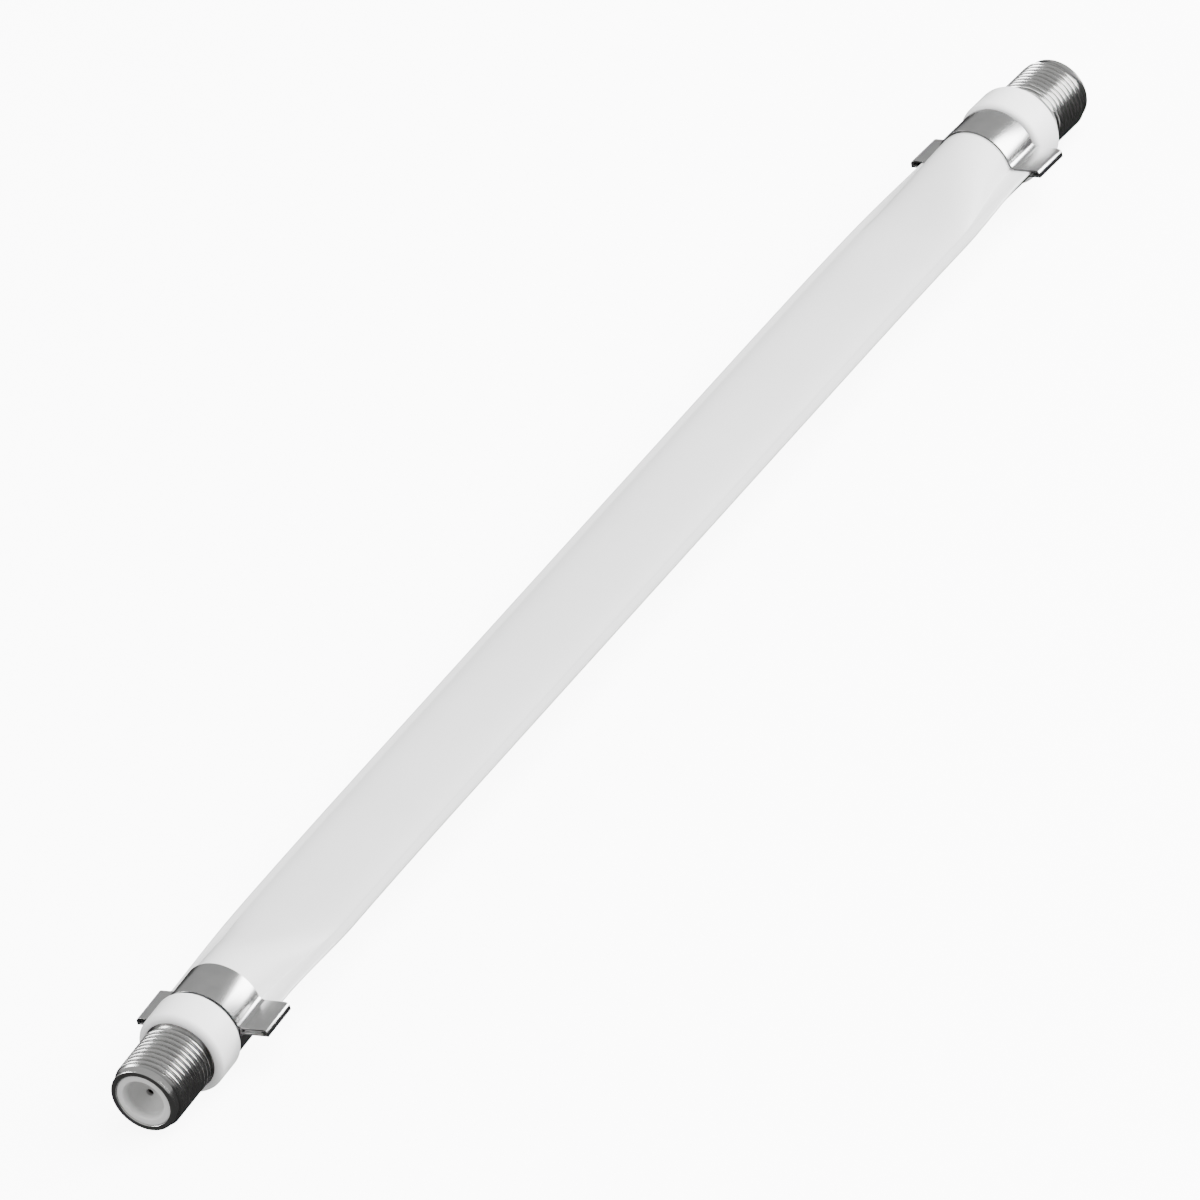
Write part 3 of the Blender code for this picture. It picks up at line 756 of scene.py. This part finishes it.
def plastic_finish(name, light, dark, roughness):
    """Plain moulded plastic, with painted shade in its recesses."""
    material, tree, shader = node_material(name, {
        "Specular IOR Level": 0.45,
        "Subsurface Weight": 0.15,
        "Subsurface Scale": 0.8 * MM,
        "Subsurface Radius": (1.0, 0.95, 0.9),
    })
    shade = clouded(tree, noise(tree, scale=250.0), dark, light)
    # Painted shade: the colour darkens down the dish.
    recess_painted_shade_stops = [(0.0, 1.0), (0.5, PAINTED_HALF_RECESS_SHADE), (1.0, PAINTED_RECESS_SHADE)]
    recess_painted_shade = ramp(tree, attribute(tree, "depth"), recess_painted_shade_stops)
    colour = mix_colour(tree, "MULTIPLY", shade, recess_painted_shade)
    tree.links.new(colour, shader.inputs["Base Color"])
    low = roughness - ROUGHNESS_SPREAD
    high = roughness + ROUGHNESS_SPREAD
    varied = span(tree, noise(tree, scale=2500.0), low, high)
    tree.links.new(varied, shader.inputs["Roughness"])
    add_bump(tree, shader, noise(tree, scale=1800.0), strength=0.2, distance=0.01 * MM)
    return material


def ring_finish():
    return plastic_finish(
        "ring_plastic", light=(0.95, 0.95, 0.95), dark=(0.92, 0.92, 0.92), roughness=0.38
    )


def insulator_finish():
    return plastic_finish(
        "insulator_plastic", light=(0.78, 0.78, 0.77), dark=(0.74, 0.74, 0.73), roughness=0.42
    )


def make_finishes():
    return {
        "jacket_vinyl": jacket_finish(),
        "nickel_plating": nickel_finish(),
        "painted_shade_cut_edge": painted_shade_cut_edge_finish(),
        "clamp_steel": clamp_finish(),
        "spring_bronze": contact_finish(),
        "ring_plastic": ring_finish(),
        "insulator_plastic": insulator_finish(),
    }


def finish_inner_nodes(finishes):
    """The contacts and tail insulators keep their CAD shape, and are seen only down the ports."""
    inner = {"center_contact": "spring_bronze", "tail_insulator": "insulator_plastic"}
    for prefix in HALVES:
        for part, slot in inner.items():
            node = frame["nodes"][f"{prefix}_{part}"]
            node.data.materials.clear()
            node.data.materials.append(finishes[slot])


# Studio

def add_camera():
    """A long-distance camera at the yaw, pitch and roll above, aimed beside the origin."""
    towards = Vector((
        math.sin(CAMERA_YAW) * math.cos(CAMERA_PITCH),
        -math.cos(CAMERA_YAW) * math.cos(CAMERA_PITCH),
        math.sin(CAMERA_PITCH),
    ))
    level = Vector((0.0, 0.0, 1.0)).cross(towards).normalized()
    upright = towards.cross(level)
    right = math.cos(CAMERA_ROLL) * level + math.sin(CAMERA_ROLL) * upright
    up = -math.sin(CAMERA_ROLL) * level + math.cos(CAMERA_ROLL) * upright
    aim = Vector((0.0, 0.0, CAMERA_AIM_HEIGHT)) + right * CAMERA_SIDE_SHIFT + up * CAMERA_RISE_SHIFT
    data = bpy.data.cameras.new("camera")
    data.sensor_width = SENSOR_WIDTH
    data.lens = SENSOR_WIDTH * CAMERA_DISTANCE / FRAME_WIDTH
    data.clip_start = NEAREST_SEEN
    data.clip_end = FARTHEST_SEEN
    camera = bpy.data.objects.new("camera", data)
    camera.matrix_world = (
        Matrix.Translation(aim + towards * CAMERA_DISTANCE)
        @ Matrix((right, up, towards)).transposed().to_4x4()
    )
    bpy.context.scene.collection.objects.link(camera)
    bpy.context.scene.camera = camera


def add_light(name, direction, distance, size, power, mirrored):
    """A soft light facing the lead; one that isn't mirrored gives no reflection of itself."""
    data = bpy.data.lights.new(name, "AREA")
    data.shape = "RECTANGLE"
    data.size, data.size_y = size
    data.energy = power
    light = bpy.data.objects.new(name, data)
    towards = Vector(direction).normalized()
    light.location = HINGE + towards * distance
    light.rotation_mode = "QUATERNION"
    light.rotation_quaternion = towards.to_track_quat("Z", "Y")
    light.visible_camera = False
    light.visible_glossy = mirrored
    bpy.context.scene.collection.objects.link(light)


def floor_finish():
    """Glowing white paper."""
    material, tree, shader = node_material("floor", {
        "Roughness": 0.9,
        "Specular IOR Level": 0.0,
        "Emission Color": (1.0, 1.0, 1.0, 1.0),
        "Emission Strength": FLOOR_GLOW,
    })
    paper = clouded(tree, noise(tree, scale=2.0), dark=0.93, light=0.94)
    tree.links.new(paper, shader.inputs["Base Color"])
    return material


def add_floor():
    """A floor that neither lights the lead nor shows in its metal."""
    bm = bmesh.new()
    bmesh.ops.create_grid(bm, x_segments=1, y_segments=1, size=FLOOR_SIZE)
    floor = mesh_object("floor", finished_mesh("floor", bm))
    floor.data.materials.append(floor_finish())
    floor.visible_glossy = False
    floor.visible_diffuse = False


def add_world():
    """A grey room that fills in shadows evenly, but is dark below where metal mirrors it."""
    world = bpy.data.worlds.new("studio")
    world.use_nodes = True
    tree = world.node_tree
    coordinates = tree.nodes.new("ShaderNodeTexCoord")
    split = tree.nodes.new("ShaderNodeSeparateXYZ")
    tree.links.new(coordinates.outputs["Generated"], split.inputs["Vector"])
    mirrored = ramp(tree, split.outputs["Z"], MIRRORED_ROOM)
    filling = ramp(tree, split.outputs["Z"], FILLING_ROOM)
    path = tree.nodes.new("ShaderNodeLightPath")
    room = mix_colour(tree, "MIX", mirrored, filling, path.outputs["Is Diffuse Ray"])
    tree.links.new(room, tree.nodes["Background"].inputs["Color"])
    bpy.context.scene.world = world


def light_studio():
    add_light(
        "key", direction=(0.70, -0.62, 0.32), distance=0.8, size=(0.35, 0.45), power=7.0, mirrored=True
    )
    add_light(
        "back", direction=(-0.60, 0.70, 0.35), distance=0.8, size=(0.30, 0.30), power=3.0, mirrored=True
    )
    add_light(
        "overhead", direction=(0.25, -0.80, 1.0), distance=1.0, size=(1.2, 1.2), power=44.0,
        mirrored=False,
    )


finishes = make_finishes()
add_camera()
add_strip(finishes["jacket_vinyl"])
for half_prefix, half_turn in HALVES.items():
    add_end(half_prefix, half_turn, finishes)
finish_inner_nodes(finishes)
add_world()
add_floor()
light_studio()
